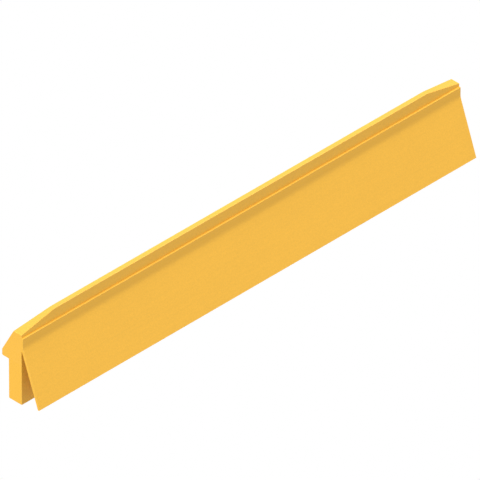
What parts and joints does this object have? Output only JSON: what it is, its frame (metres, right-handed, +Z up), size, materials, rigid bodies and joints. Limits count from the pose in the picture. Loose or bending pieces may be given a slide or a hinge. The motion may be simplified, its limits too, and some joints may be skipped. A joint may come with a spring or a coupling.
{
  "type": "squeegee blade cassette",
  "caption": "Snap-in floor squeegee blade cassette: stiff barbed rail with end ramps, thick square rear blade and a thin flared front lip that flexes.",
  "frame": {"origin": "centre of the rear blade's flat foot face", "axes": "+X along the part, -Y towards the flared front lip, +Y towards the barb, +Z up to the head"},
  "size_m": [0.405, 0.0343, 0.062],
  "materials": {
    "rail_plastic": "fine matte moulded surface, yellow",
    "blade_rubber": "matte, yellow",
    "lip_rubber": "matte with a fine grain, yellow"
  },
  "bodies": {
    "cassette_body": {"snap_rail": "rail_plastic", "rear_blade": "blade_rubber", "lip_flange": "lip_rubber"},
    "lip_root": {"lip_root_strip": "lip_rubber"},
    "lip_middle": {"lip_middle_strip": "lip_rubber"},
    "lip_edge": {"lip_edge_strip": "lip_rubber"}
  },
  "joints": [
    {"name": "lip_root_flex", "type": "hinge", "parent": "cassette_body", "child": "lip_root", "pos_m": [0, -0.00635, 0.04509], "axis": [-1, 0, 0], "range_deg": [-9, 20], "stiffness_Nm_per_rad": 0.08},
    {"name": "lip_middle_flex", "type": "hinge", "parent": "lip_root", "child": "lip_middle", "pos_m": [0, -0.01141, 0.03119], "axis": [-1, 0, 0], "range_deg": [-6.3, 14], "stiffness_Nm_per_rad": 0.08},
    {"name": "lip_edge_flex", "type": "hinge", "parent": "lip_middle", "child": "lip_edge", "pos_m": [0, -0.01647, 0.01729], "axis": [-1, 0, 0], "range_deg": [-3.15, 7], "stiffness_Nm_per_rad": 0.08}
  ],
  "couplings": [
    {"joint": "lip_middle_flex", "follows": "lip_root_flex", "ratio": 0.7},
    {"joint": "lip_edge_flex", "follows": "lip_root_flex", "ratio": 0.35}
  ]
}
